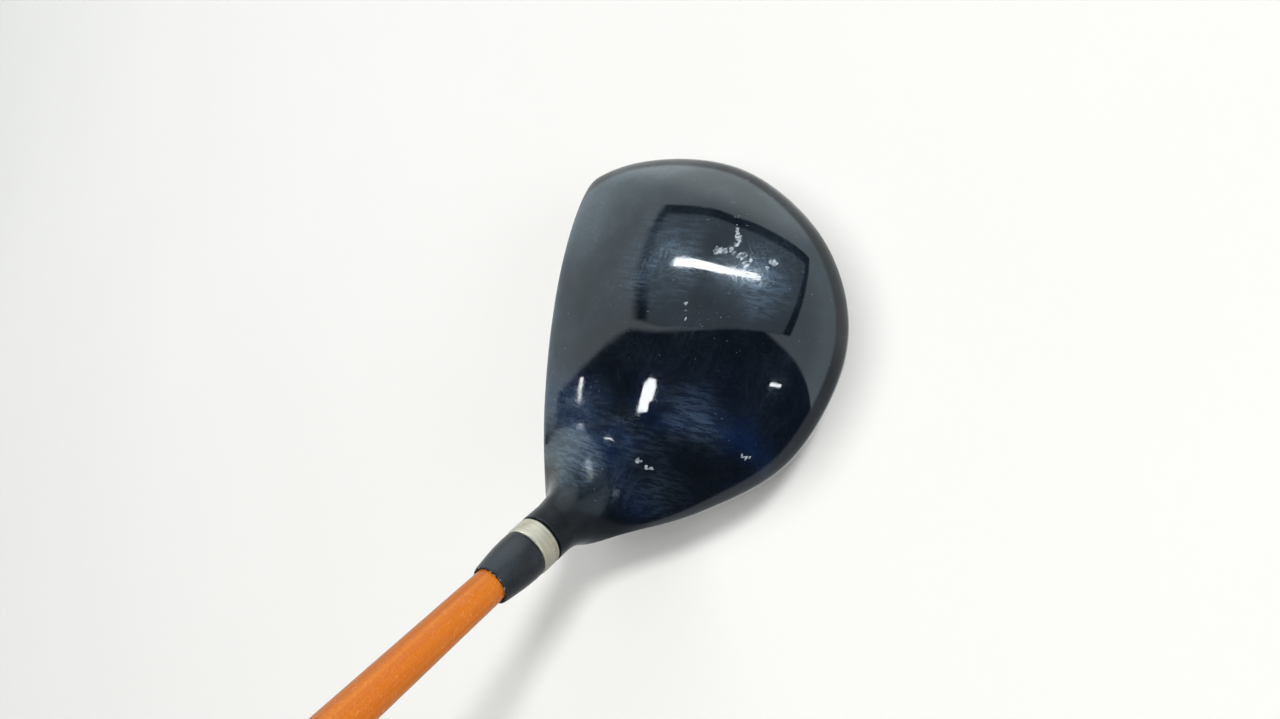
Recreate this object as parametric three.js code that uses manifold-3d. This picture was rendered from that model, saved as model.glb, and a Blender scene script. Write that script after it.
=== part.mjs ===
// Fairway wood with an adjustable hosel: hollow head, loft sleeve, tapered shaft and slip-on grip.
//
// Frame, in millimetres: +X is the rear of the head, so the face looks along -X. +Y is the toe and
// +Z is up. The club stands at address on its sole. The origin is the middle of the sole's flat
// rest patch, on the ground. Pieces on the shaft line are turned shapes in a tilted group, whose
// own Y runs up the shaft from the hosel's end face: "level" below is that coordinate.
import * as THREE from 'three';
import { mergeVertices } from 'three/addons/utils/BufferGeometryUtils.js';
import Module from 'manifold-3d';

const wasm = await Module();
wasm.setup();

// ---------------------------------------------------------------- driving dimensions
const LIE = THREE.MathUtils.degToRad(58);
const LOFT = THREE.MathUtils.degToRad(15);
const CLUB_LENGTH = 1092;
const HOSEL_END = new THREE.Vector3(-19, -50, 51);
const GAP = 0.3;

const CROWN_HEIGHT = 39.5;
const HEAD_CENTRE = new THREE.Vector2(-2, 0);
const CROWN_FULLNESS = [2.3, 0.62];
const SOLE_FULLNESS = [2.6, 0.62];
const SOLE_FLAT = 0.6;
const SKIN = 2.3;
const CROWN_SKIN = 1.0;

// widest line of the head, where crown and skirt meet; its front stretch lies ahead of the face
const BELT = [
  [46, 2, 21], [40, 28, 22], [19, 49, 24], [-8, 57, 26], [-34, 54, 27], [-64, 36, 25],
  [-76, 0, 24], [-64, -36, 27], [-30, -50, 32], [-10, -48, 30], [12, -40, 25], [34, -25, 22],
].map((p) => new THREE.Vector3(...p));

const FACE_CENTRE = new THREE.Vector3(-40.5, -2, 20);
const BULGE_RADIUS = 280;
const FACE_EDGE_BLEND = 3;
const FACE_THICKNESS = 2.6;
const FACE_WALL = 3.6;

const HOSEL_RADIUS = 6.65;
const HOSEL_FLARE = { reach: 13, rise: 13.5, power: 2.1 };
const POST_RADIUS = 7.6;
const POST_BOTTOM = -62;
const POST_TOP = -12;
const BORE_RADIUS = 5.7;
const INSERT_BORE_RADIUS = 6.0;
const INSERT_TOP = -27.7;
const FLANGE_TOP = -37.5;
const FLANGE_BOTTOM = -40;
const PORT_RADIUS = 5.4;
const SCREW_HOLE_RADIUS = 2.9;
const CUTTER_OVERRUN = 12;

const SLEEVE_TIP = -35.5;
const SPLINE_BOTTOM = -34.5;
const SPLINE_TOP = -27.9;
const SPLINE_RADIUS = 4.8;
const COLLAR_TOP = 5.7;
const FERRULE_BOTTOM = 6.1;
const FERRULE_TOP = 18;

const SHAFT_TIP_LEVEL = -25.5;
const SHAFT_TIP_RADIUS = 4.25;
const SHAFT_BUTT_RADIUS = 7.6;
const SHAFT_WALL = 1.2;
const BUTT_LEVEL = CLUB_LENGTH - HOSEL_END.z / Math.sin(LIE);
const GRIP_LENGTH = 267;
const GRIP_MOUTH_LEVEL = BUTT_LEVEL - GRIP_LENGTH;
const CAP_THICKNESS = 4;

const WEIGHT_PLACE = new THREE.Vector2(27, 3);
const WEIGHT_RADIUS = 7.6;
const WEIGHT_DEPTH = 5.5;
const WEIGHT_TOP = -0.4;
const WEIGHT_BOSS_WALL = 2.6;
const THREAD_BOSS_RADIUS = 5;

const TORX_RADIUS = 2.2;
const SCREW_RADIUS = 2.3;
const SPLINES = 12;

// ---------------------------------------------------------------- solids
function toSolid(geometry) {
  const bare = new THREE.BufferGeometry();
  bare.setAttribute('position', geometry.getAttribute('position').clone());
  if (geometry.index) {
    bare.setIndex(geometry.index.clone());
  }
  const merged = mergeVertices(bare, 1e-4);
  const triangles = [];
  for (let i = 0; i < merged.index.count; i += 3) {
    const [a, b, c] = [0, 1, 2].map((k) => merged.index.getX(i + k));
    if (a !== b && b !== c && c !== a) {
      triangles.push(a, b, c);
    }
  }
  const points = merged.getAttribute('position');
  let volume = 0;
  const [p, q, r] = [new THREE.Vector3(), new THREE.Vector3(), new THREE.Vector3()];
  for (let i = 0; i < triangles.length; i += 3) {
    p.fromBufferAttribute(points, triangles[i]);
    q.fromBufferAttribute(points, triangles[i + 1]);
    r.fromBufferAttribute(points, triangles[i + 2]);
    volume += p.dot(q.cross(r));
  }
  if (volume < 0) {
    triangles.reverse();
  }
  const mesh = new wasm.Mesh({
    numProp: 3,
    vertProperties: new Float32Array(points.array),
    triVerts: new Uint32Array(triangles),
  });
  return new wasm.Manifold(mesh);
}

function toGeometry(solid) {
  const mesh = solid.getMesh();
  const geometry = new THREE.BufferGeometry();
  geometry.setAttribute('position', new THREE.BufferAttribute(new Float32Array(mesh.vertProperties), 3));
  geometry.setIndex([...mesh.triVerts]);
  return geometry;
}

// closed profile of [radius, level] points turned about the Y axis
function turned(profile, segments = 32) {
  const points = profile.map(([radius, level]) => new THREE.Vector2(radius, level));
  points.push(points[0].clone());
  return new THREE.LatheGeometry(points, segments);
}

function rod(radius, low, high, segments = 32) {
  return turned([[0, low], [radius, low], [radius, high], [0, high]], segments);
}

function ring(inner, outer, low, high, segments = 32) {
  return turned([[inner, low], [outer, low], [outer, high], [inner, high]], segments);
}

// prism of a toothed outline about the Y axis, for splines and drive sockets
function toothed(inner, outer, teeth, low, high) {
  const outline = [];
  for (let i = 0; i < teeth; i += 1) {
    for (const [part, radius] of [[0, inner], [0.3, inner], [0.5, outer], [0.8, outer]]) {
      const angle = ((i + part) / teeth) * 2 * Math.PI;
      outline.push(new THREE.Vector2(radius * Math.cos(angle), radius * Math.sin(angle)));
    }
  }
  const prism = new THREE.ExtrudeGeometry(new THREE.Shape(outline), {
    depth: high - low,
    bevelEnabled: false,
  });
  return prism.rotateX(-Math.PI / 2).translate(0, low, 0);
}

// matrix that carries the Y axis onto a direction and the origin onto a place
function placement(place, direction) {
  const turn = new THREE.Quaternion().setFromUnitVectors(new THREE.Vector3(0, 1, 0), direction);
  return new THREE.Matrix4().compose(place, turn, new THREE.Vector3(1, 1, 1));
}

const shaftLine = new THREE.Vector3(0, -Math.cos(LIE), Math.sin(LIE));
const onShaftLine = placement(HOSEL_END, shaftLine);

function shaftLineSolid(geometry) {
  return toSolid(geometry.applyMatrix4(onShaftLine));
}

// ---------------------------------------------------------------- head surface
const beltCurve = new THREE.CatmullRomCurve3(BELT, true, 'catmullrom', 0.5);

function beltPoints(count, inset) {
  const points = [];
  for (let i = 0; i < count; i += 1) {
    const point = beltCurve.getPoint(i / count);
    const radius = Math.hypot(point.x - HEAD_CENTRE.x, point.y - HEAD_CENTRE.y);
    const shrink = (radius - inset) / radius;
    point.x = HEAD_CENTRE.x + (point.x - HEAD_CENTRE.x) * shrink;
    point.y = HEAD_CENTRE.y + (point.y - HEAD_CENTRE.y) * shrink;
    points.push(point);
  }
  return points;
}

// the belt as radius and height against the angle about the head's centre
const beltByAngle = beltPoints(360, 0)
  .map((p) => {
    const [x, y] = [p.x - HEAD_CENTRE.x, p.y - HEAD_CENTRE.y];
    return { angle: Math.atan2(y, x), radius: Math.hypot(x, y), height: p.z };
  })
  .sort((a, b) => a.angle - b.angle);

function beltAt(angle) {
  const after = beltByAngle.findIndex((entry) => entry.angle >= angle);
  const b = beltByAngle[after === -1 ? 0 : after];
  const a = beltByAngle[after < 1 ? beltByAngle.length - 1 : after - 1];
  const full = 2 * Math.PI;
  const span = (b.angle - a.angle + full) % full;
  const t = span === 0 ? 0 : ((angle - a.angle + full) % full) / span;
  return { radius: a.radius + (b.radius - a.radius) * t, height: a.height + (b.height - a.height) * t };
}

// dome height at a plan point: 1 over the middle and 0 at the belt
function dome(reach, [power, root]) {
  return Math.max(0, 1 - Math.min(1, reach) ** power) ** root;
}

function reachAt(x, y, inset) {
  const [dx, dy] = [x - HEAD_CENTRE.x, y - HEAD_CENTRE.y];
  const belt = beltAt(Math.atan2(dy, dx));
  return { reach: Math.hypot(dx, dy) / (belt.radius - inset), height: belt.height };
}

function crownHeight(x, y, inset) {
  const { reach, height } = reachAt(x, y, inset);
  return height + (CROWN_HEIGHT - inset - height) * dome(reach, CROWN_FULLNESS);
}

function soleHeight(x, y, inset) {
  const { reach, height } = reachAt(x, y, inset);
  const raw = height * (1 - dome(reach, SOLE_FULLNESS));
  const outer = (Math.max(0, raw - SOLE_FLAT) * height) / (height - SOLE_FLAT);
  return inset + (outer * (height - inset)) / height;
}

function faceX(y, z) {
  const [across, up] = [y - FACE_CENTRE.y, z - FACE_CENTRE.z];
  return FACE_CENTRE.x + Math.tan(LOFT) * up + (across ** 2 + up ** 2) / (2 * BULGE_RADIUS);
}

// keeps a point behind the face, with a rounded edge
function behindFace(point, back) {
  const face = faceX(point.y, point.z) + back;
  const near = Math.max(FACE_EDGE_BLEND - Math.abs(point.x - face), 0) / FACE_EDGE_BLEND;
  const x = Math.max(point.x, face) + (near * near * FACE_EDGE_BLEND) / 4;
  return new THREE.Vector3(x, point.y, point.z);
}

// joins rows of points, each a closed loop, into one skin with a middle point at each end
function skinOf(rows, firstMiddle, lastMiddle) {
  const count = rows[0].length;
  const points = [...rows.flat(), firstMiddle, lastMiddle];
  const faces = [];
  for (let i = 0; i < count; i += 1) {
    const next = (i + 1) % count;
    for (let row = 0; row + 1 < rows.length; row += 1) {
      const [a, b] = [row * count + i, row * count + next];
      faces.push(a, a + count, b, b, a + count, b + count);
    }
    const last = (rows.length - 1) * count;
    faces.push(points.length - 2, i, next, points.length - 1, last + next, last + i);
  }
  const geometry = new THREE.BufferGeometry();
  geometry.setAttribute('position', new THREE.Float32BufferAttribute(points.flatMap((p) => p.toArray()), 3));
  geometry.setIndex(faces);
  return geometry;
}

function soleRows(belt, rowCount, inset, shape) {
  const rows = [];
  for (let k = 1; k < rowCount; k += 1) {
    const out = Math.cos((k / rowCount) * (Math.PI / 2));
    rows.push(belt.map((p) => {
      const x = HEAD_CENTRE.x + (p.x - HEAD_CENTRE.x) * out;
      const y = HEAD_CENTRE.y + (p.y - HEAD_CENTRE.y) * out;
      return shape(new THREE.Vector3(x, y, soleHeight(x, y, inset)));
    }));
  }
  return rows;
}

// the head's form without its hosel, set in by a wall thickness
function plainForm(inset, back, sectors = 32, rowCount = 6) {
  const shape = (point) => behindFace(point, back);
  const belt = beltPoints(sectors, inset);
  const rows = [];
  for (let k = 1; k < rowCount; k += 1) {
    const out = Math.sin((k / rowCount) * (Math.PI / 2));
    rows.push(belt.map((p) => {
      const x = HEAD_CENTRE.x + (p.x - HEAD_CENTRE.x) * out;
      const y = HEAD_CENTRE.y + (p.y - HEAD_CENTRE.y) * out;
      return shape(new THREE.Vector3(x, y, crownHeight(x, y, inset)));
    }));
  }
  rows.push(belt.map(shape), ...soleRows(belt, rowCount, inset, shape));
  const top = new THREE.Vector3(HEAD_CENTRE.x, HEAD_CENTRE.y, CROWN_HEIGHT - inset);
  const bottom = new THREE.Vector3(HEAD_CENTRE.x, HEAD_CENTRE.y, inset);
  return toSolid(skinOf(rows, top, bottom));
}

function fromShaftLine(point) {
  const arm = point.clone().sub(HOSEL_END);
  const level = arm.dot(shaftLine);
  const away = arm.addScaledVector(shaftLine, -level);
  return { level, away, distance: away.length() };
}

// draws the skin near the shaft line up into the hosel
function raised(point) {
  const { level, distance } = fromShaftLine(point);
  const { reach, rise, power } = HOSEL_FLARE;
  const t = THREE.MathUtils.clamp((HOSEL_RADIUS + reach - distance) / reach, 0, 1);
  const fade = THREE.MathUtils.smoothstep(level, -42, -26);
  const lift = rise * (1 - (1 - t ** power) ** (1 / power)) * fade;
  return point.clone().addScaledVector(shaftLine, lift);
}

// the head's outer form: rows run from the hosel's end face out over the crown, then under the sole
function outerForm(sectors = 48, crownRows = 9, soleRowCount = 6) {
  const shape = (point) => behindFace(raised(point), 0);
  const belt = beltPoints(sectors, 0);
  let level = -10;
  for (let i = 0; i < 30; i += 1) {
    const p = HOSEL_END.clone().addScaledVector(shaftLine, level);
    level += (crownHeight(p.x, p.y, 0) - p.z) / shaftLine.z;
  }
  const middle = HOSEL_END.clone().addScaledVector(shaftLine, level);
  const crownPoint = (p, out) => {
    const x = middle.x + (p.x - middle.x) * out;
    const y = middle.y + (p.y - middle.y) * out;
    return new THREE.Vector3(x, y, out >= 1 ? p.z : crownHeight(x, y, 0));
  };
  const starts = belt.map((p) => {
    let [low, high] = [0, 1];
    for (let i = 0; i < 30; i += 1) {
      const half = (low + high) / 2;
      if (fromShaftLine(crownPoint(p, half)).distance < HOSEL_RADIUS) {
        low = half;
      } else {
        high = half;
      }
    }
    return high;
  });
  const rows = [];
  for (let k = 0; k <= crownRows; k += 1) {
    const t = k / crownRows;
    const spread = (Math.sin((t * Math.PI) / 2) + t ** 1.5) / 2;
    rows.push(belt.map((p, i) => shape(crownPoint(p, starts[i] + (1 - starts[i]) * spread))));
  }
  const rim = belt.map((p, i) => {
    const { away } = fromShaftLine(raised(crownPoint(p, starts[i])));
    return HOSEL_END.clone().add(away);
  });
  const bottom = new THREE.Vector3(HEAD_CENTRE.x, HEAD_CENTRE.y, 0);
  const below = soleRows(belt, soleRowCount, 0, shape);
  return toSolid(skinOf([rim, ...rows, ...below], HOSEL_END.clone(), bottom));
}

// ---------------------------------------------------------------- head pieces
// prism over a smooth closed outline in the plan, grown or shrunk about its middle
function planPrism(outline, grow, low, high, count = 48) {
  const curve = new THREE.CatmullRomCurve3(outline.map(([x, y]) => new THREE.Vector3(x, y, 0)), true);
  const centre = outline
    .reduce((sum, [x, y]) => sum.add(new THREE.Vector2(x, y)), new THREE.Vector2())
    .divideScalar(outline.length);
  const points = curve.getPoints(count).slice(0, count).map((p) => {
    const arm = new THREE.Vector2(p.x, p.y).sub(centre);
    return centre.clone().addScaledVector(arm, 1 + grow / arm.length());
  });
  return new THREE.ExtrudeGeometry(new THREE.Shape(points), { depth: high - low, bevelEnabled: false })
    .translate(0, 0, low);
}

const CROWN_OUTLINE = [
  [38, 3], [33, 24], [16, 42], [-8, 49], [-25, 43], [-28, 18], [-28, -4], [-22, -19],
  [-6, -29], [12, -31], [28, -20],
];
const LEDGE_WIDTH = 6;

function crownPrism(grow) {
  return toSolid(planPrism(CROWN_OUTLINE, grow, 24, 60));
}

// outline of the face insert, looking at the face: [across, up]
const FACE_OUTLINE = [
  [-33, 14], [-32, 27], [-24, 32], [0, 33.5], [24, 31.5], [36, 26], [36, 15], [22, 9.5], [0, 8],
  [-20, 9],
];

function facePrism(grow) {
  const turn = new THREE.Matrix4().makeBasis(
    new THREE.Vector3(0, 1, 0),
    new THREE.Vector3(0, 0, 1),
    new THREE.Vector3(1, 0, 0),
  );
  return toSolid(planPrism(FACE_OUTLINE, grow, -60, -25, 40).applyMatrix4(turn));
}

function crownPlate(outer) {
  return outer.subtract(plainForm(CROWN_SKIN, 0)).intersect(crownPrism(-GAP / 2));
}

function facePlate(outer) {
  return outer.subtract(plainForm(-2, FACE_THICKNESS)).intersect(facePrism(-GAP / 2));
}

// place and outward direction of the rear weight, square to the sole
const weightSeat = (() => {
  const { x, y } = WEIGHT_PLACE;
  const slope = (dx, dy) => (soleHeight(x + dx, y + dy, 0) - soleHeight(x - dx, y - dy, 0)) / 2;
  const outward = new THREE.Vector3(slope(1, 0), slope(0, 1), -1).normalize();
  return { place: new THREE.Vector3(x, y, soleHeight(x, y, 0)), outward };
})();
const onWeightLine = placement(weightSeat.place, weightSeat.outward);
const WEIGHT_FLOOR = -WEIGHT_DEPTH - 1.6;
const THREAD_BOTTOM = WEIGHT_FLOOR - 8.5;

function weightLineSolid(geometry) {
  return toSolid(geometry.applyMatrix4(onWeightLine));
}

function bodyShell(outer) {
  const post = shaftLineSolid(rod(POST_RADIUS, POST_BOTTOM, POST_TOP)).intersect(outer);
  const boss = weightLineSolid(rod(WEIGHT_RADIUS + WEIGHT_BOSS_WALL, WEIGHT_FLOOR - 2, 6))
    .add(weightLineSolid(rod(THREAD_BOSS_RADIUS, THREAD_BOTTOM - 2, WEIGHT_FLOOR)))
    .intersect(outer);
  const hoselBore = shaftLineSolid(turned([
    [0, POST_BOTTOM - CUTTER_OVERRUN], [PORT_RADIUS, POST_BOTTOM - CUTTER_OVERRUN],
    [PORT_RADIUS, FLANGE_BOTTOM], [SCREW_HOLE_RADIUS, FLANGE_BOTTOM],
    [SCREW_HOLE_RADIUS, FLANGE_TOP], [INSERT_BORE_RADIUS, FLANGE_TOP], [INSERT_BORE_RADIUS, INSERT_TOP],
    [BORE_RADIUS, INSERT_TOP], [BORE_RADIUS, CUTTER_OVERRUN], [0, CUTTER_OVERRUN],
  ]));
  const weightPort = weightLineSolid(turned([
    [0, THREAD_BOTTOM], [SCREW_HOLE_RADIUS, THREAD_BOTTOM], [SCREW_HOLE_RADIUS, WEIGHT_FLOOR],
    [WEIGHT_RADIUS + GAP, WEIGHT_FLOOR], [WEIGHT_RADIUS + GAP, CUTTER_OVERRUN], [0, CUTTER_OVERRUN],
  ]));
  const ledgeUnder = plainForm(CROWN_SKIN + GAP, 0);
  return outer
    .subtract(plainForm(SKIN, FACE_WALL))
    .subtract(crownPrism(GAP / 2).subtract(ledgeUnder))
    .subtract(crownPrism(-LEDGE_WIDTH).subtract(plainForm(SKIN + 3, FACE_WALL)))
    .subtract(facePrism(GAP / 2))
    .add(post)
    .add(boss)
    .subtract(hoselBore)
    .subtract(weightPort);
}

// drop of hot-melt glue inside the sole that catches loose grit and quietens the head
function dampingPad() {
  const [x, y] = [-2, 8];
  const seat = SKIN + 0.8;
  const drop = turned([[0, 0], [6, 0], [7.5, 0.9], [6.4, 2.2], [4, 3.1], [0, 3.5]], 20);
  return drop.rotateX(Math.PI / 2).translate(x, y, seat);
}

// ---------------------------------------------------------------- pieces on the shaft line
function shaftRadius(level) {
  const t = THREE.MathUtils.clamp(level / BUTT_LEVEL, 0, 1);
  return SHAFT_TIP_RADIUS + (SHAFT_BUTT_RADIUS - SHAFT_TIP_RADIUS) * t;
}

function shaft() {
  const levels = [SHAFT_TIP_LEVEL, 0, 340, 690, BUTT_LEVEL - CAP_THICKNESS - 1];
  const outside = levels.map((level) => [shaftRadius(level), level]);
  const inside = [...levels].reverse().map((level) => [shaftRadius(level) - SHAFT_WALL, level]);
  return turned([...outside, ...inside], 28);
}

function shaftSleeve() {
  const body = toSolid(turned([
    [2.65, SLEEVE_TIP], [4.2, SLEEVE_TIP], [4.2, -27.2], [5.4, -26.8], [5.4, GAP], [6.45, GAP],
    [HOSEL_RADIUS, 0.6], [6.55, COLLAR_TOP - 0.3], [6.35, COLLAR_TOP], [4.6, COLLAR_TOP],
    [4.6, -26], [2.65, -26.4],
  ], 36));
  const splines = toSolid(toothed(4.1, SPLINE_RADIUS, SPLINES, SPLINE_BOTTOM, SPLINE_TOP))
    .subtract(toSolid(rod(3.6, SLEEVE_TIP - 0.5, -26)));
  return toGeometry(body.add(splines));
}

function hoselInsert() {
  const blank = toSolid(ring(3, 5.7, -36.2, -28.1, 36));
  return toGeometry(blank.subtract(toSolid(toothed(4.5, 5.15, SPLINES, -38, -26))));
}

function ferrule() {
  return turned([
    [4.75, FERRULE_BOTTOM], [6.3, FERRULE_BOTTOM], [6.4, FERRULE_BOTTOM + 0.3], [6.2, 10],
    [5.7, 14.5], [5.2, FERRULE_TOP - 0.4], [4.95, FERRULE_TOP], [4.75, FERRULE_TOP],
  ], 36);
}

// socket-head screw: level 0 is the underside of its head, which faces down the shank
function screw(headRadius, headHeight, shankLength) {
  const blank = toSolid(turned([
    [0, -shankLength], [SCREW_RADIUS - 0.5, -shankLength], [SCREW_RADIUS, -shankLength + 0.6],
    [SCREW_RADIUS, 0], [headRadius, 0], [headRadius, headHeight - 0.4],
    [headRadius - 0.4, headHeight], [0, headHeight],
  ], 28));
  const socket = toSolid(toothed(TORX_RADIUS - 0.55, TORX_RADIUS, 6, 0.9, headHeight + 1));
  return toGeometry(blank.subtract(socket));
}

const SCREW_SEAT = FLANGE_BOTTOM - 1.8;

function gripRadius(level) {
  const t = (level - GRIP_MOUTH_LEVEL) / GRIP_LENGTH;
  return 9.1 + 3.6 * t + 0.9 * t ** 6;
}

function grip() {
  const top = BUTT_LEVEL - CAP_THICKNESS - GAP;
  const levels = [0, 0.05, 0.3, 0.6, 0.8, 0.92, 1]
    .map((t) => GRIP_MOUTH_LEVEL + (top - GRIP_MOUTH_LEVEL) * t);
  const outside = levels.map((level, i) => [gripRadius(level) - (i === 0 ? 0.6 : 0), level]);
  const inside = [levels[6], levels[0]].map((level) => [shaftRadius(level) + 1.0, level]);
  return turned([...outside, ...inside], 36);
}

function gripTape() {
  const [low, high] = [GRIP_MOUTH_LEVEL + 4, BUTT_LEVEL - CAP_THICKNESS - 2];
  return turned([
    [shaftRadius(low) + 0.3, low], [shaftRadius(low) + 0.65, low],
    [shaftRadius(high) + 0.65, high], [shaftRadius(high) + 0.3, high],
  ], 28);
}

function gripCap() {
  const low = BUTT_LEVEL - CAP_THICKNESS;
  return turned([
    [1.8, low], [13.6, low], [14.3, low + 0.8], [14.3, low + 2.4], [13.2, low + 3.5],
    [11, BUTT_LEVEL], [1.8, BUTT_LEVEL],
  ], 36);
}

// ---------------------------------------------------------------- materials and assembly
function finish(color, roughness, metalness) {
  return new THREE.MeshStandardMaterial({ color, roughness, metalness });
}

const MATERIALS = {
  crownPaint: finish(0x0e1626, 0.08, 0.3),
  bodyPaint: finish(0x0c1320, 0.1, 0.3),
  faceSteel: finish(0x8d9095, 0.38, 0.9),
  castSteel: finish(0x9b9c9e, 0.35, 0.9),
  sleeveAlloy: finish(0xc9c5b8, 0.33, 0.85),
  screwSteel: finish(0x3a3c40, 0.4, 0.8),
  weightMetal: finish(0xa6a7aa, 0.3, 0.9),
  sealRubber: finish(0x1b1b1d, 0.8, 0),
  hotMelt: finish(0xc9a25a, 0.5, 0),
  ferrulePlastic: finish(0x1d2226, 0.25, 0),
  shaftLacquer: finish(0xdc8430, 0.16, 0.05),
  brass: finish(0xb58b3c, 0.35, 0.9),
  tapePaper: finish(0xd8d2c0, 0.9, 0),
  gripRubber: finish(0x222325, 0.85, 0),
  capRubber: finish(0x2b2c2f, 0.7, 0),
};

function piece(name, geometry, material) {
  const mesh = new THREE.Mesh(geometry, MATERIALS[material]);
  mesh.name = name;
  return mesh;
}

function headGroup() {
  const outer = outerForm();
  const group = new THREE.Group();
  group.add(
    piece('body_shell', toGeometry(bodyShell(outer)), 'bodyPaint'),
    piece('crown_plate', toGeometry(crownPlate(outer)), 'crownPaint'),
    piece('face_plate', toGeometry(facePlate(outer)), 'faceSteel'),
    piece('damping_pad', dampingPad(), 'hotMelt'),
  );
  return group;
}

function shaftLineGroup() {
  const group = new THREE.Group();
  group.applyMatrix4(onShaftLine);
  group.add(
    piece('hosel_insert', hoselInsert(), 'castSteel'),
    piece('shaft_sleeve', shaftSleeve(), 'sleeveAlloy'),
    piece('screw_retainer', ring(2.65, 4.4, -37.2, -36.5, 24), 'sealRubber'),
    piece('screw_washer', ring(2.7, 4.9, SCREW_SEAT + GAP, FLANGE_BOTTOM - GAP, 24), 'screwSteel'),
    piece('ferrule', ferrule(), 'ferrulePlastic'),
    piece('shaft', shaft(), 'shaftLacquer'),
    piece('tip_weight', rod(2.6, SHAFT_TIP_LEVEL + 1, -4, 20), 'brass'),
    piece('grip_tape', gripTape(), 'tapePaper'),
    piece('grip', grip(), 'gripRubber'),
    piece('grip_cap', gripCap(), 'capRubber'),
  );
  const hoselScrew = piece('hosel_screw', screw(4.3, 4.2, 14.3), 'screwSteel');
  hoselScrew.rotation.x = Math.PI;
  hoselScrew.position.y = SCREW_SEAT;
  group.add(hoselScrew);
  return group;
}

function weightLineGroup() {
  const group = new THREE.Group();
  group.applyMatrix4(onWeightLine);
  const top = WEIGHT_TOP;
  const bottom = top - WEIGHT_DEPTH;
  const headSeat = bottom + 2.4;
  const cartridge = turned([
    [2.9, bottom], [6.8, bottom], [WEIGHT_RADIUS, bottom + 0.6], [WEIGHT_RADIUS, top - 0.5],
    [WEIGHT_RADIUS - 0.5, top], [4.8, top], [4.8, headSeat], [2.9, headSeat],
  ], 36);
  group.add(
    piece('weight_cartridge', cartridge, 'weightMetal'),
    piece('weight_gasket', ring(4.2, 7.0, WEIGHT_FLOOR + 0.3, bottom - 0.15, 28), 'sealRubber'),
  );
  const weightScrew = piece('weight_screw', screw(4.3, 2.6, 9.5), 'screwSteel');
  weightScrew.position.y = headSeat + GAP;
  group.add(weightScrew);
  return group;
}

const fairwayWood = new THREE.Group();
fairwayWood.add(headGroup(), shaftLineGroup(), weightLineGroup());

export default fairwayWood;
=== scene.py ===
"""Looks for the fairway wood: smooth head, turned hosel parts, shaft, grip, finishes, light and camera.

The head's form is worked out in millimetres from the same driving dimensions as the CAD and turned
into metres when a mesh is made. "Level" is the distance up the shaft line from the hosel's end face.
"""

import math

import bpy
import numpy as np
from mathutils import Matrix, Vector


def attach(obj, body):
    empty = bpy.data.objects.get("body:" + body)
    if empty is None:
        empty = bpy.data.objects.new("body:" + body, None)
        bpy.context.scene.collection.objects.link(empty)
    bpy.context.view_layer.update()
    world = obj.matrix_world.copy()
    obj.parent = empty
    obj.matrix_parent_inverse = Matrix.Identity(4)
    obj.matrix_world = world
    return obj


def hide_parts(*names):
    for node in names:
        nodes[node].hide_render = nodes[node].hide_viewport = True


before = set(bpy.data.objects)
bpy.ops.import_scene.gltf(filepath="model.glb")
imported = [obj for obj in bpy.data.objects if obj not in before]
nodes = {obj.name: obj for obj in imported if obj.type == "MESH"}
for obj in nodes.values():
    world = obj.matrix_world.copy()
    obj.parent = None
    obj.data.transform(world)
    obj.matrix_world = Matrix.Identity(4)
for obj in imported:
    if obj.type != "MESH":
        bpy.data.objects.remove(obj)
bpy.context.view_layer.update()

# -------------------- driving dimensions (mm)
MM = 0.001
LIE = math.radians(58)
LOFT = math.radians(15)
CLUB_LENGTH = 1092
HOSEL_END = np.array([-19.0, -50.0, 51.0])
SHAFT_LINE = np.array([0.0, -math.cos(LIE), math.sin(LIE)])
BUTT_LEVEL = CLUB_LENGTH - HOSEL_END[2] / math.sin(LIE)

CROWN_HEIGHT = 39.5
HEAD_CENTRE = np.array([-2.0, 0.0])
CROWN_FULLNESS = (2.3, 0.62)
SOLE_FULLNESS = (2.6, 0.62)
SOLE_FLAT = 0.6
# widest line of the head; its front stretch lies ahead of the face
BELT = np.array([
    (46, 2, 21), (40, 28, 22), (19, 49, 24), (-8, 57, 26), (-34, 54, 27), (-64, 36, 25),
    (-76, 0, 24), (-64, -36, 27), (-30, -50, 32), (-10, -48, 30), (12, -40, 25), (34, -25, 22),
], float)

FACE_CENTRE = (-40.5, -2.0, 20.0)
BULGE_RADIUS = 280
FACE_EDGE_BLEND = 3.0
FACE_THICKNESS = 2.6
FACE_OUTLINE = [(-33, 14), (-32, 27), (-24, 32), (0, 33.5), (24, 31.5), (36, 26), (36, 15),
                (22, 9.5), (0, 8), (-20, 9)]
CROWN_OUTLINE = [(38, 3), (33, 24), (16, 42), (-8, 49), (-25, 43), (-28, 18), (-28, -4),
                 (-22, -19), (-6, -29), (12, -31), (28, -20)]

HOSEL_RADIUS = 6.65
FLARE_REACH = 13.0
FLARE_RISE = 13.5
FLARE_POWER = 2.1
BORE_RADIUS = 5.7
INSERT_BORE_RADIUS = 6.0
INSERT_TOP = -27.7
FLANGE_TOP = -37.5
FLANGE_BOTTOM = -40.0
PORT_RADIUS = 5.4
SCREW_HOLE_RADIUS = 2.9
SCREW_RADIUS = 2.3
SCREW_SEAT = FLANGE_BOTTOM - 1.8
SPLINES = 12

SHAFT_TIP_LEVEL = -25.5
SHAFT_TIP_RADIUS = 4.25
SHAFT_BUTT_RADIUS = 7.6
SHAFT_WALL = 1.2
GRIP_LENGTH = 267
GRIP_MOUTH = BUTT_LEVEL - GRIP_LENGTH
CAP_THICKNESS = 4.0

WEIGHT_PLACE = (27.0, 3.0)
WEIGHT_RADIUS = 7.6
WEIGHT_DEPTH = 5.5
GAP = 0.3


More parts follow.
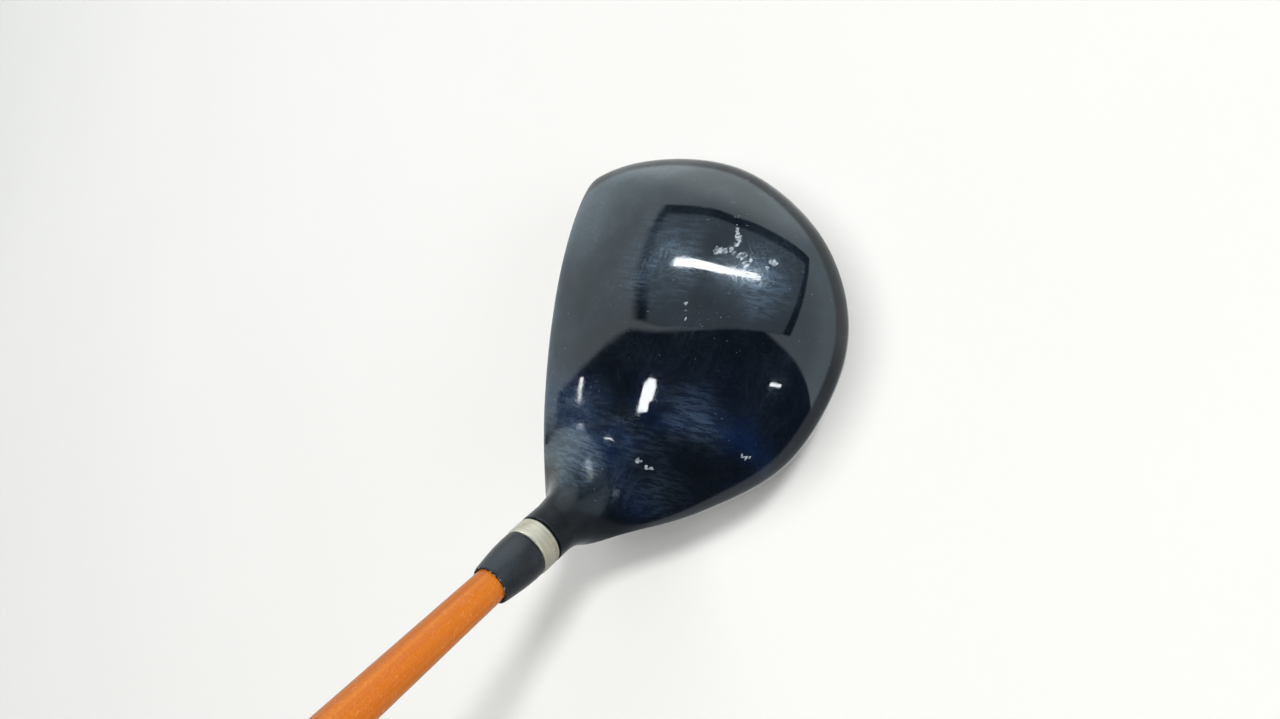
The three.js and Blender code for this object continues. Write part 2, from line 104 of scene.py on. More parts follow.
# -------------------- mesh helpers
def make_object(name, points, faces, smooth_angle=math.radians(32)):
    """A mesh object from points in millimetres."""
    mesh = bpy.data.meshes.new(name)
    mesh.from_pydata([tuple(p) for p in np.asarray(points) * MM], [], faces)
    mesh.validate()
    mesh.shade_smooth()
    mesh.set_sharp_from_angle(angle=smooth_angle)
    obj = bpy.data.objects.new(name, mesh)
    bpy.context.scene.collection.objects.link(obj)
    return obj


def strip_faces(row_count, count, offset=0):
    """Quads between neighbouring closed rows of points."""
    faces = []
    for row in range(row_count - 1):
        base = offset + row * count
        for i in range(count):
            j = (i + 1) % count
            faces.append((base + i, base + j, base + count + j, base + count + i))
    return faces


def fan_faces(ring_start, count, middle, flip):
    faces = []
    for i in range(count):
        j = (i + 1) % count
        a, b = ring_start + i, ring_start + j
        faces.append((middle, b, a) if flip else (middle, a, b))
    return faces


def line_matrix(place, direction):
    """Matrix that carries +Z onto a direction and the origin onto a place, in millimetres."""
    turn = Vector(direction).to_track_quat("Z", "Y").to_matrix().to_4x4()
    return np.array(Matrix.Translation(Vector(place)) @ turn)


def carried(points, matrix):
    points = np.asarray(points, float)
    return points @ matrix[:3, :3].T + matrix[:3, 3]


ON_SHAFT_LINE = line_matrix(HOSEL_END, SHAFT_LINE)


def softened(profile, steps=4):
    """Rounds a profile of (radius, level, fillet) corners; a missing fillet leaves a corner sharp."""
    points = []
    for i, corner in enumerate(profile):
        here = np.array(corner[:2], float)
        fillet = corner[2] if len(corner) > 2 else 0
        if not fillet:
            points.append(here)
            continue
        before = np.array(profile[i - 1][:2], float)
        after = np.array(profile[(i + 1) % len(profile)][:2], float)
        start = here + (before - here) * min(0.45, fillet / np.linalg.norm(before - here))
        end = here + (after - here) * min(0.45, fillet / np.linalg.norm(after - here))
        for k in range(steps + 1):
            t = k / steps
            points.append((1 - t) ** 2 * start + 2 * t * (1 - t) * here + t ** 2 * end)
    return points


def turned(name, profile, matrix=ON_SHAFT_LINE, segments=128, shape=None, angle=32):
    """A closed profile of (radius, level[, fillet]) turned about the line of a matrix.

    Points with radius 0 lie on the axis. shape(angles, radius, level) may change a ring's radii.
    """
    outline = softened(profile)
    angles = np.linspace(0, 2 * math.pi, segments, endpoint=False)
    points, rings = [], []
    for radius, level in outline:
        if radius < 1e-6:
            rings.append((len(points), True))
            points.append((0, 0, level))
            continue
        radii = np.full(segments, radius) if shape is None else shape(angles, radius, level)
        rings.append((len(points), False))
        points.extend(zip(radii * np.cos(angles), radii * np.sin(angles), np.full(segments, level)))
    faces = []
    for k in range(len(rings)):
        (a, a_pole), (b, b_pole) = rings[k], rings[(k + 1) % len(rings)]
        if a_pole and b_pole:
            continue
        for i in range(segments):
            j = (i + 1) % segments
            if a_pole:
                faces.append((a, b + j, b + i))
            elif b_pole:
                faces.append((a + i, a + j, b))
            else:
                faces.append((a + i, a + j, b + j, b + i))
    obj = make_object(name, carried(points, matrix), faces, math.radians(angle))
    outward(obj)
    return obj


def prism(name, outline, low, high, matrix):
    """A closed prism over an outline in the plane square to a line."""
    count = len(outline)
    points = [(x, y, low) for x, y in outline] + [(x, y, high) for x, y in outline]
    faces = strip_faces(2, count)
    faces.append(tuple(reversed(range(count))))
    faces.append(tuple(range(count, 2 * count)))
    obj = make_object(name, carried(points, matrix), faces)
    outward(obj)
    return obj


def outward(obj):
    """Turns a closed mesh's faces to point out."""
    mesh = obj.data
    points = np.empty(len(mesh.vertices) * 3)
    mesh.vertices.foreach_get("co", points)
    points = points.reshape(-1, 3)
    mesh.calc_loop_triangles()
    triangles = np.empty(len(mesh.loop_triangles) * 3, int)
    mesh.loop_triangles.foreach_get("vertices", triangles)
    a, b, c = (points[triangles.reshape(-1, 3)[:, k]] for k in range(3))
    volume = np.einsum("ij,ij->i", a, np.cross(b, c)).sum()
    if volume < 0:
        mesh.flip_normals()


def combine(obj, operation, tools, angle=32):
    """Applies a boolean with each tool in turn and removes the tools."""
    for tool in tools:
        modifier = obj.modifiers.new("cut", "BOOLEAN")
        modifier.operation = operation
        modifier.solver = "EXACT"
        modifier.object = tool
    depsgraph = bpy.context.evaluated_depsgraph_get()
    result = bpy.data.meshes.new_from_object(obj.evaluated_get(depsgraph))
    obj.modifiers.clear()
    old = obj.data
    obj.data = result
    bpy.data.meshes.remove(old)
    obj.data.name = obj.name
    for tool in tools:
        bpy.data.objects.remove(tool)
    obj.data.shade_smooth()
    obj.data.set_sharp_from_angle(angle=math.radians(angle))
    return obj


# -------------------- head surface
def closed_curve(corners, count):
    """Uniform Catmull-Rom curve through a closed list of corners."""
    corners = np.asarray(corners, float)
    place = np.arange(count) / count * len(corners)
    index = np.floor(place).astype(int)
    u = (place - index)[:, None]
    p0, p1, p2, p3 = (corners[(index + k) % len(corners)] for k in (-1, 0, 1, 2))
    return 0.5 * (2 * p1 + (p2 - p0) * u + (2 * p0 - 5 * p1 + 4 * p2 - p3) * u ** 2
                  + (3 * p1 - p0 - 3 * p2 + p3) * u ** 3)


belt_fine = closed_curve(BELT, 1440)
belt_arm = belt_fine[:, :2] - HEAD_CENTRE
belt_order = np.argsort(np.arctan2(belt_arm[:, 1], belt_arm[:, 0]))
belt_angle = np.arctan2(belt_arm[:, 1], belt_arm[:, 0])[belt_order]
belt_radius = np.hypot(belt_arm[:, 0], belt_arm[:, 1])[belt_order]
belt_height = belt_fine[:, 2][belt_order]


def reach_at(x, y):
    """How far out a plan point lies, 0 at the middle and 1 at the belt, and the belt's height there."""
    dx, dy = x - HEAD_CENTRE[0], y - HEAD_CENTRE[1]
    angle = np.arctan2(dy, dx)
    radius = np.interp(angle, belt_angle, belt_radius, period=2 * math.pi)
    height = np.interp(angle, belt_angle, belt_height, period=2 * math.pi)
    return np.hypot(dx, dy) / radius, height


def dome(reach, fullness):
    power, root = fullness
    return np.maximum(0, 1 - np.minimum(1, reach) ** power) ** root


def crown_height(x, y):
    reach, height = reach_at(x, y)
    return height + (CROWN_HEIGHT - height) * dome(reach, CROWN_FULLNESS)


def sole_height(x, y):
    reach, height = reach_at(x, y)
    raw = height * (1 - dome(reach, SOLE_FULLNESS))
    return np.maximum(0, raw - SOLE_FLAT) * height / (height - SOLE_FLAT)


def face_x(y, z):
    across, up = y - FACE_CENTRE[1], z - FACE_CENTRE[2]
    return FACE_CENTRE[0] + math.tan(LOFT) * up + (across ** 2 + up ** 2) / (2 * BULGE_RADIUS)


def behind_face(points):
    points = points.copy()
    face = face_x(points[:, 1], points[:, 2])
    near = np.maximum(FACE_EDGE_BLEND - np.abs(points[:, 0] - face), 0) / FACE_EDGE_BLEND
    points[:, 0] = np.maximum(points[:, 0], face) + near ** 2 * FACE_EDGE_BLEND / 4
    return points


def from_shaft_line(points):
    arm = points - HOSEL_END
    level = arm @ SHAFT_LINE
    away = arm - level[:, None] * SHAFT_LINE
    return level, away, np.linalg.norm(away, axis=1)


def raised(points):
    """Draws the skin near the shaft line up into the hosel."""
    level, _, distance = from_shaft_line(points)
    t = np.clip((HOSEL_RADIUS + FLARE_REACH - distance) / FLARE_REACH, 0, 1)
    fade = np.clip((level + 42) / 16, 0, 1)
    fade = fade * fade * (3 - 2 * fade)
    lift = FLARE_RISE * (1 - (1 - t ** FLARE_POWER) ** (1 / FLARE_POWER)) * fade
    return points + lift[:, None] * SHAFT_LINE


def skin_rows(sectors, crown_rows, sole_rows):
    """Rows of points from the hosel's end out over the crown to the belt, then under to the sole."""
    belt = closed_curve(BELT, sectors)
    level = -10.0
    for _ in range(40):
        middle = HOSEL_END + SHAFT_LINE * level
        level += (crown_height(middle[0], middle[1]) - middle[2]) / SHAFT_LINE[2]
    middle = (HOSEL_END + SHAFT_LINE * level)[:2]

    def crown_points(out):
        xy = middle + (belt[:, :2] - middle) * out[:, None]
        z = np.where(out >= 1, belt[:, 2], crown_height(xy[:, 0], xy[:, 1]))
        return np.column_stack([xy, z])

    low, high = np.zeros(sectors), np.ones(sectors)
    for _ in range(40):
        half = (low + high) / 2
        inside = from_shaft_line(crown_points(half))[2] < HOSEL_RADIUS
        low, high = np.where(inside, half, low), np.where(inside, high, half)
    start = high

    crown = []
    for k in range(crown_rows + 1):
        t = k / crown_rows
        spread = (math.sin(t * math.pi / 2) + t ** 1.5) / 2
        crown.append(raised(crown_points(start + (1 - start) * spread)))

    foot_level, away, distance = from_shaft_line(crown[0])
    unit = away / distance[:, None]
    hosel = []
    for radius, height in ((3, 0), (HOSEL_RADIUS - 0.3, 0), (HOSEL_RADIUS - 0.12, -0.04),
                           (HOSEL_RADIUS - 0.03, -0.14), (HOSEL_RADIUS, -0.3)):
        hosel.append(HOSEL_END + unit * radius + SHAFT_LINE * height)
    for part in np.linspace(0.12, 0.9, 10):
        hosel.append(HOSEL_END + away + SHAFT_LINE * (foot_level * part)[:, None])

    sole = []
    for k in range(1, sole_rows):
        out = math.cos(k / sole_rows * math.pi / 2)
        xy = HEAD_CENTRE + (belt[:, :2] - HEAD_CENTRE) * out
        sole.append(raised(np.column_stack([xy, sole_height(xy[:, 0], xy[:, 1])])))
    return [behind_face(row) for row in hosel + crown + sole], len(hosel)


def inside_outline(x, y, outline):
    """Whether plan points lie inside a closed outline."""
    inside = np.zeros(len(x), bool)
    ends = np.roll(outline, -1, axis=0)
    for (ax, ay), (bx, by) in zip(outline, ends):
        crosses = (ay > y) != (by > y)
        with np.errstate(divide="ignore", invalid="ignore"):
            at = (bx - ax) * (y - ay) / (by - ay) + ax
        inside ^= crosses & (x < at)
    return inside


def grown(outline, amount, count):
    curve = closed_curve(outline, count)
    centre = np.mean(outline, axis=0)
    arm = curve - centre
    return centre + arm * (1 + amount / np.linalg.norm(arm, axis=1))[:, None]


# -------------------- head pieces
SECTORS = 400
CROWN_ROWS = 120
SOLE_ROWS = 84
PANEL_DEPTH = 1.0


def vertex_normals(obj):
    mesh = obj.data
    normals = np.empty(len(mesh.vertices) * 3)
    mesh.vertices.foreach_get("normal", normals)
    return normals.reshape(-1, 3)


def weight_line():
    """Place and outward direction of the rear weight, square to the sole."""
    x, y = WEIGHT_PLACE
    slope_x = (sole_height(x + 1, y) - sole_height(x - 1, y)) / 2
    slope_y = (sole_height(x, y + 1) - sole_height(x, y - 1)) / 2
    outward_line = np.array([slope_x, slope_y, -1.0])
    place = np.array([x, y, float(sole_height(x, y))])
    return place, outward_line / np.linalg.norm(outward_line)


WEIGHT_SEAT, WEIGHT_LINE = weight_line()
ON_WEIGHT_LINE = line_matrix(WEIGHT_SEAT, WEIGHT_LINE)
WEIGHT_FLOOR = -WEIGHT_DEPTH - 1.6
FACE_MATRIX = np.array([[0, 0, 1, 0], [1, 0, 0, 0], [0, 1, 0, 0], [0, 0, 0, 1]], float)


def head_skin():
    rows, hosel_rows = skin_rows(SECTORS, CROWN_ROWS, SOLE_ROWS)
    points = np.concatenate(rows)
    top_middle = len(points)
    points = np.vstack([points, HOSEL_END, (*HEAD_CENTRE, 0)])
    faces = strip_faces(len(rows), SECTORS)
    faces += fan_faces(0, SECTORS, top_middle, True)
    faces += fan_faces((len(rows) - 1) * SECTORS, SECTORS, top_middle + 1, False)
    first_crown_face = (hosel_rows + 4) * SECTORS
    last_crown_face = (hosel_rows + CROWN_ROWS - 2) * SECTORS
    return points, faces, (first_crown_face, last_crown_face)


def head_shells():
    """The crown panel and the body that it sits in, cut from one skin so their seam can't be seen."""
    points, faces, (first, last) = head_skin()
    whole = make_object("whole_skin", points, faces, math.radians(40))
    outward(whole)
    normals = vertex_normals(whole)
    faces = [tuple(polygon.vertices) for polygon in whole.data.polygons]

    outline = closed_curve(CROWN_OUTLINE, 240)
    quads = np.array(faces[first:last])
    middles = points[quads].mean(axis=1)
    chosen = inside_outline(middles[:, 0], middles[:, 1], outline)
    panel_set = set((np.nonzero(chosen)[0] + first).tolist())
    panel = [faces[i] for i in sorted(panel_set)]
    rest = [face for i, face in enumerate(faces) if i not in panel_set]

    directed = {(face[k], face[(k + 1) % len(face)]) for face in panel for k in range(len(face))}
    seam = [(a, b) for a, b in directed if (b, a) not in directed]

    floor_points = sorted({v for face in panel for v in face})
    below = {v: len(points) + i for i, v in enumerate(floor_points)}
    walls = [(b, a, below[a], below[b]) for a, b in seam]
    under = [tuple(below[v] for v in face) for face in panel]

    def sunk(depth):
        return np.vstack([points, points[floor_points] - normals[floor_points] * depth])

    crown = tidy_object("crown_panel", sunk(PANEL_DEPTH),
                        panel + [face[::-1] for face in under] + walls)
    body = tidy_object("head_body", sunk(PANEL_DEPTH + 0.05),
                       rest + under + [wall[::-1] for wall in walls])
    return whole, crown, body


def tidy_object(name, points, faces):
    """Makes an object from only the points that its faces use."""
    used = sorted({v for face in faces for v in face})
    number = {v: i for i, v in enumerate(used)}
    return make_object(name, points[used], [tuple(number[v] for v in face) for face in faces],
                       math.radians(40))


def point_key(point):
    return tuple(int(round(c * 1e7)) for c in point)


def keep_normals(obj, skin):
    """Gives a piece the whole skin's shading wherever it lies on that skin."""
    known = {point_key(v.co): v.normal.copy() for v in skin.data.vertices}
    keys = [point_key(v.co) for v in obj.data.vertices]
    plain = Vector((0, 0, 0))
    normals = [plain] * len(obj.data.loops)
    for polygon in obj.data.polygons:
        for loop in polygon.loop_indices:
            normal = known.get(keys[obj.data.loops[loop].vertex_index])
            if normal is not None and normal.dot(polygon.normal) > 0.8:
                normals[loop] = normal
    obj.data.normals_split_custom_set(normals)


def joined(objects):
    """Several closed shells as one object."""
    first = objects[0]
    with bpy.context.temp_override(active_object=first, selected_editable_objects=objects):
        bpy.ops.object.join()
    return first


def cut_body(body):
    port = turned("port_tool", [
        (0, -80), (PORT_RADIUS, -80), (PORT_RADIUS, FLANGE_BOTTOM), (SCREW_HOLE_RADIUS, FLANGE_BOTTOM),
        (SCREW_HOLE_RADIUS, FLANGE_TOP), (INSERT_BORE_RADIUS, FLANGE_TOP),
        (INSERT_BORE_RADIUS, INSERT_TOP), (BORE_RADIUS, INSERT_TOP), (BORE_RADIUS, -0.3),
        (BORE_RADIUS + 0.3, 0.1), (BORE_RADIUS + 0.3, 6), (0, 6),
    ], segments=96)
    pocket = turned("pocket_tool", [
        (0, WEIGHT_FLOOR - 8.5), (SCREW_HOLE_RADIUS, WEIGHT_FLOOR - 8.5),
        (SCREW_HOLE_RADIUS, WEIGHT_FLOOR), (WEIGHT_RADIUS + GAP, WEIGHT_FLOOR),
        (WEIGHT_RADIUS + GAP, -0.7), (WEIGHT_RADIUS + GAP + 1.2, 0.8), (WEIGHT_RADIUS + GAP + 1.2, 12),
        (0, 12),
    ], ON_WEIGHT_LINE, 128)
    opening = face_block("opening_tool", FACE_THICKNESS + 0.05, 0.08)
    return combine(body, "DIFFERENCE", [joined([port, pocket, opening])], 38)


# -------------------- face plate
GROOVES = (12.5, 15.8, 19.1, 22.4, 25.7, 29.0)
GROOVE_HALF_WIDTH = 0.42
GROOVE_DEPTH = 0.38
GROOVE_ENDS = (-27.0, 26.0)


def curved_strip(name, across, section):
    """A closed bar that follows the face's curve; section holds (height, depth behind the face)."""
    count = len(section)
    points = []
    for y in across:
        points += [(face_x(y, z) + depth, y, z) for z, depth in section]
    faces = strip_faces(len(across), count)
    faces.append(tuple(range(count)))
    faces.append(tuple(range((len(across) - 1) * count, len(across) * count))[::-1])
    obj = make_object(name, points, faces)
    outward(obj)
    return obj


def face_block(name, depth, margin):
    """A block in front of and behind the face's curve, trimmed to the insert's outline."""
    up = np.linspace(2, 40, 40)
    section = [(z, -6) for z in up] + [(z, depth) for z in up[::-1]]
    block = curved_strip(name, np.linspace(-46, 46, 93), section)
    trim = prism("trim_tool", grown(FACE_OUTLINE, margin, 160), -90, 0, FACE_MATRIX)
    return combine(block, "INTERSECT", [trim])


def face_plate(whole):
    """The insert, cut from the whole skin, with its score lines."""
    plate = whole.copy()
    plate.data = whole.data.copy()
    plate.name = plate.data.name = "face_insert"
    bpy.context.scene.collection.objects.link(plate)
    combine(plate, "INTERSECT", [face_block("insert_tool", FACE_THICKNESS, -0.04)], 30)
    grooves = []
    for middle in GROOVES:
        half, deep = GROOVE_HALF_WIDTH, GROOVE_DEPTH
        section = [(middle - half * 1.6, -0.6), (middle - half, 0.0), (middle - half * 0.5, deep * 0.85),
                   (middle, deep), (middle + half * 0.5, deep * 0.85), (middle + half, 0.0),
                   (middle + half * 1.6, -0.6)]
        grooves.append(curved_strip("groove_tool", np.linspace(*GROOVE_ENDS, 60), section))
    return combine(plate, "DIFFERENCE", [joined(grooves)], 30)


# -------------------- turned pieces
SPLINE_ROOT = 4.2
SPLINE_TIP = 4.8
SPLINE_LEVELS = (-34.52, -27.95)
THREAD_PITCH = 0.8
THREAD_DEPTH = 0.38
SCREW_HEAD_RADIUS = 4.3
WEIGHT_TOP = -0.4
WEIGHT_SCREW_SEAT = WEIGHT_TOP - WEIGHT_DEPTH + 2.4


def splined(angles, radius, level):
    """Ring radii of the sleeve, with square teeth between the spline levels."""
    if not SPLINE_LEVELS[0] <= level <= SPLINE_LEVELS[1]:
        return np.full(len(angles), radius)
    wave = np.clip(np.sin(SPLINES * angles) * 2.2, -1, 1) * 0.5 + 0.5
    return SPLINE_ROOT + (SPLINE_TIP - SPLINE_ROOT) * wave


def shaft_sleeve():
    return turned("loft_sleeve", [
        (2.65, -35.5), (4.2, -35.5, 0.4), (4.2, -34.6), (4.25, -34.5), (4.25, -28), (4.2, -27.9),
        (4.2, -27.2), (5.4, -26.8, 0.3), (5.4, GAP), (6.3, GAP), (6.62, 0.62, 0.25),
        (6.56, 5.3, 0.3), (6.3, 5.62), (6.1, 5.62), (6.1, 5.5), (4.6, 5.5), (4.6, -26), (2.65, -26.4),
    ], segments=192, shape=splined, angle=24)


def ferrule():
    return turned("ferrule_ring", [
        (4.75, 5.8), (6.28, 5.8, 0.15), (6.38, 6.25, 0.3), (6.3, 9), (6.08, 11.5), (5.72, 14.2),
        (5.3, 16.8), (5.12, 17.75, 0.25), (4.95, 18.0, 0.12), (4.62, 18.0), (4.62, 17.2), (4.75, 17.0),
    ], segments=160, angle=24)


def shaft_radius(level):
    t = min(max(level / BUTT_LEVEL, 0), 1)
    return SHAFT_TIP_RADIUS + (SHAFT_BUTT_RADIUS - SHAFT_TIP_RADIUS) * t


def shaft_tube():
    top = BUTT_LEVEL - CAP_THICKNESS - 1
    levels = [SHAFT_TIP_LEVEL, 0] + [top * k / 40 for k in range(1, 41)]
    outside = [(shaft_radius(level), level) for level in levels]
    inside = [(shaft_radius(level) - SHAFT_WALL, level) for level in reversed(levels)]
    return turned("shaft_tube", outside + inside, segments=128)


def lobed(count, radius, depth, points=72):
    """Outline of a lobed drive socket."""
    outline = []
    for k in range(points):
        angle = 2 * math.pi * k / points
        here = radius - depth * (0.5 - 0.5 * math.cos(count * angle)) ** 0.8
        outline.append((here * math.cos(angle), here * math.sin(angle)))
    return outline


def thread(low, high, radius):
    """Profile points of a thread's section between two levels."""
    steps = int((high - low) / THREAD_PITCH * 4)
    return [(radius - THREAD_DEPTH * (k % 4 in (0, 3)), low + (high - low) * k / steps)
            for k in range(steps + 1)]


def screw(name, head_height, shank, matrix, seat, facing):
    """Socket-head screw; facing is 1 when its head points up the line and -1 when it points down."""
    head_radius = SCREW_HEAD_RADIUS
    local = np.array([[1, 0, 0, 0], [0, facing, 0, 0], [0, 0, facing, seat], [0, 0, 0, 1]], float)
    place = np.array(matrix) @ local
    profile = [(0, -shank), (SCREW_RADIUS - 0.7, -shank)]
    profile += thread(-shank + 0.5, -0.9, SCREW_RADIUS - 0.02)
    profile += [
        (SCREW_RADIUS - 0.1, -0.6), (SCREW_RADIUS, -0.05), (head_radius - 0.15, 0, 0.15),
        (head_radius, 0.25), (head_radius, head_height - 0.45, 0.3),
        (head_radius - 0.5, head_height, 0.3), (2.75, head_height), (2.5, head_height - 0.2),
        (0, head_height - 0.2),
    ]
    blank = turned(name, profile, place, 96, angle=28)
    socket = prism(name + "_socket", lobed(6, 2.2, 0.55), 0.9, head_height + 1, place)
    return combine(blank, "DIFFERENCE", [socket], 28)


def weight_cartridge():
    top, seat = WEIGHT_TOP, WEIGHT_SCREW_SEAT
    bottom = top - WEIGHT_DEPTH
    return turned("sole_weight", [
        (2.9, bottom), (6.8, bottom, 0.2), (WEIGHT_RADIUS, bottom + 0.6), (WEIGHT_RADIUS, top - 0.5, 0.2),
        (WEIGHT_RADIUS - 0.45, top, 0.2), (6.9, top), (6.7, top - 0.18), (5.5, top - 0.18),
        (5.3, top, 0.1), (5.1, top, 0.1), (4.8, top - 0.4), (4.8, seat), (2.9, seat),
    ], ON_WEIGHT_LINE, 128, angle=28)


def washer():
    return turned("screw_washer_ring", [
        (2.7, SCREW_SEAT + GAP, 0.1), (4.9, SCREW_SEAT + GAP, 0.15),
        (4.9, FLANGE_BOTTOM - GAP, 0.15), (2.7, FLANGE_BOTTOM - GAP, 0.1),
    ], segments=96)


# -------------------- grip
GRIP_ROWS = 430
GRIP_GROOVES = 14
GRIP_GROOVE_PITCH = 5.2
GRIP_GROOVE_DEPTH = 0.42
GRIP_RING_DEPTH = 0.35
GRIP_PATTERN = (0.045, 0.955)


def grip_radius(level):
    t = (level - GRIP_MOUTH) / GRIP_LENGTH
    return 9.1 + 3.6 * t + 0.9 * t ** 6


def grip_sleeve():
    """Rubber grip: plain mouth and top bands, with shallow crossed grooves moulded between them."""
    top = BUTT_LEVEL - CAP_THICKNESS - GAP
    levels = np.linspace(GRIP_MOUTH + 0.6, top - 0.4, GRIP_ROWS)
    pattern_start, pattern_end = GRIP_PATTERN

    def pattern(angles, radius, level):
        along = (level - GRIP_MOUTH) / GRIP_LENGTH
        if along < pattern_start or along > pattern_end:
            ring_depth = GRIP_RING_DEPTH if 0.03 < along < 0.04 or 0.962 < along < 0.972 else 0.0
            return np.full(len(angles), radius - ring_depth)
        edge = min((along - pattern_start) / 0.012, (pattern_end - along) / 0.012, 1.0)
        run = (level - GRIP_MOUTH) / GRIP_GROOVE_PITCH
        first = np.cos(GRIP_GROOVES * angles + run * math.pi)
        second = np.cos(GRIP_GROOVES * angles - run * math.pi)
        groove = np.clip((np.maximum(first, second) - 0.62) / 0.3, 0, 1)
        return radius - GRIP_GROOVE_DEPTH * groove * edge

    outside = [(grip_radius(GRIP_MOUTH) - 1.0, GRIP_MOUTH)]
    outside += [(grip_radius(level), level) for level in levels]
    outside += [(grip_radius(top) - 0.5, top)]
    inside = [(shaft_radius(top) + 1.0, top), (shaft_radius(GRIP_MOUTH) + 1.0, GRIP_MOUTH)]

    def shape(angles, radius, level):
        if radius < grip_radius(level) - 0.3:
            return np.full(len(angles), radius)
        return pattern(angles, radius, level)

    return turned("grip_sleeve", outside + inside, segments=168, shape=shape, angle=50)


def grip_cap():
    low = BUTT_LEVEL - CAP_THICKNESS
    return turned("butt_cap", [
        (1.8, low), (13.6, low, 0.2), (14.3, low + 0.8, 0.5), (14.3, low + 2.4, 0.8), (13.2, low + 3.5, 0.8),
        (11, BUTT_LEVEL, 0.6), (8.6, BUTT_LEVEL), (8.4, BUTT_LEVEL - 0.2), (7.9, BUTT_LEVEL - 0.2),
        (7.7, BUTT_LEVEL), (2.3, BUTT_LEVEL, 0.2), (1.8, BUTT_LEVEL - 0.5),
    ], segments=128, angle=30)


# -------------------- finishes
class Finish:
    """A procedural material, with short calls for its nodes. Places are in metres."""

    def __init__(self, name):
        self.material = bpy.data.materials.new(name)
        self.material.use_nodes = True
        self.tree = self.material.node_tree
        self.tree.nodes.clear()
        self.place = self.node("ShaderNodeTexCoord").outputs["Object"]

    def node(self, kind, values=None, **settings):
        made = self.tree.nodes.new(kind)
        for key, value in settings.items():
            setattr(made, key, value)
        for key, value in (values or {}).items():
            if isinstance(value, bpy.types.NodeSocket):
                self.tree.links.new(value, made.inputs[key])
            else:
                made.inputs[key].default_value = value
        return made

    def along(self, scale=(1, 1, 1), turn=(0, 0, 0), origin=(0, 0, 0)):
        """Coordinates turned and then scaled about an origin."""
        moved = self.node("ShaderNodeVectorMath", {0: self.place, 1: origin}, operation="SUBTRACT")
        turned_to = self.node("ShaderNodeMapping", {"Vector": moved.outputs[0], "Rotation": turn})
        scaled = self.node("ShaderNodeVectorMath", {0: turned_to.outputs[0], 1: scale},
                           operation="MULTIPLY")
        return scaled.outputs[0]

    def on_shaft(self, scale=(1, 1, 1)):
        """Coordinates whose Z is the level up the shaft line."""
        return self.along(scale, (LIE - math.pi / 2, 0, 0), tuple(HOSEL_END * MM))

    def noise(self, place, scale=1.0, detail=3.0, roughness=0.55, distortion=0.0):
        return self.node("ShaderNodeTexNoise", {
            "Vector": place, "Scale": scale, "Detail": detail, "Roughness": roughness,
            "Distortion": distortion}).outputs[0]

    def cells(self, place, scale=1.0):
        return self.node("ShaderNodeTexVoronoi", {"Vector": place, "Scale": scale}).outputs[0]

    def calc(self, operation, a, b=0.0):
        return self.node("ShaderNodeMath", {0: a, 1: b}, operation=operation).outputs[0]

    def ramp(self, value, low, high, start=0.0, end=1.0):
        return self.node("ShaderNodeMapRange", {
            "Value": value, "From Min": low, "From Max": high, "To Min": start, "To Max": end},
            interpolation_type="SMOOTHSTEP").outputs[0]

    def blend(self, factor, a, b):
        return self.node("ShaderNodeMix", {0: factor, 6: a, 7: b}, data_type="RGBA").outputs[2]

    def axis(self, place, which):
        return self.node("ShaderNodeSeparateXYZ", {0: place}).outputs[which]

    def near(self, centre, inner, outer):
        """1 inside a ball and 0 outside it, all in metres."""
        gap = self.node("ShaderNodeVectorMath", {0: self.place, 1: centre}, operation="DISTANCE")
        return self.ramp(gap.outputs[1], inner, outer, 1.0, 0.0)

    def scratches(self, directions, scale, stretch, width, start=0.3):
        """Fine straight marks in several directions: 1 on a mark."""
        total = None
        for k in range(directions):
            place = self.along((scale, scale / stretch, scale), (0, 0, start + 2.4 * k),
                               (0.01 * k, 0, 0))
            off = self.calc("ABSOLUTE", self.calc("SUBTRACT", self.noise(place, detail=1.5), 0.5))
            mark = self.ramp(off, 0.0, width, 1.0, 0.0)
            total = mark if total is None else self.calc("MAXIMUM", total, mark)
        return total

    def bump(self, height, strength, distance, before=None):
        values = {"Height": height, "Strength": strength, "Distance": distance}
        if before is not None:
            values["Normal"] = before
        return self.node("ShaderNodeBump", values).outputs[0]

    def surface(self, **values):
        """The shader itself; names are the shader's own, with underscores for spaces."""
        shader = self.node("ShaderNodeBsdfPrincipled",
                           {key.replace("_", " "): value for key, value in values.items()})
        self.node("ShaderNodeOutputMaterial", {0: shader.outputs[0]})
        return self.material


def rgb(code):
    """Linear colour of a hex colour code."""
    parts = [int(code[i:i + 2], 16) / 255 for i in (0, 2, 4)]
    linear = [c / 12.92 if c <= 0.04045 else ((c + 0.055) / 1.055) ** 2.4 for c in parts]
    return (*linear, 1.0)


# small losses of paint on the crown, in millimetres: both ends of a run, its spread, how many
# chips and the reach of the largest
CROWN_CHIPS = [((21.6, 31, 33.5), (22.6, 26.6, 34.6), 0.3, 6, 1.9),
               ((18.6, 24.9, 35.8), (24.4, 23.2, 34.7), 0.5, 8, 2.4),
               ((23.4, 21.5, 35.1), (32.2, 20.8, 32.1), 0.8, 12, 1.8),
               ((11.3, 11.1, 38.6), (11.6, 7.3, 38.8), 0.1, 2, 1.2),
               ((-1.9, -28.6, 36.8), (2.3, -30.7, 35.6), 0.3, 4, 1.7),
               ((24.2, -25, 30.8), (26.4, -26.2, 29.4), 0.4, 3, 1.8)]


def chip_places():
    dice = np.random.default_rng(11)
    for start, end, spread, count, reach in CROWN_CHIPS:
        for k in range(count):
            middle = np.array(start) + (np.array(end) - start) * (k / (count - 1))
            yield middle + dice.normal(0, spread, 3), reach * dice.uniform(0.6, 1.0)


# where wiping has clouded the clear coat, and where the grey film laid over it is partly a painted
# reflection: place in millimetres, and reach
CROWN_HAZE = [((28, 19, 33), 17), ((2, 24, 38), 18), ((14, -19, 37), 15), ((-20, -24, 38), 22),
              ((0, -33, 37), 19)]


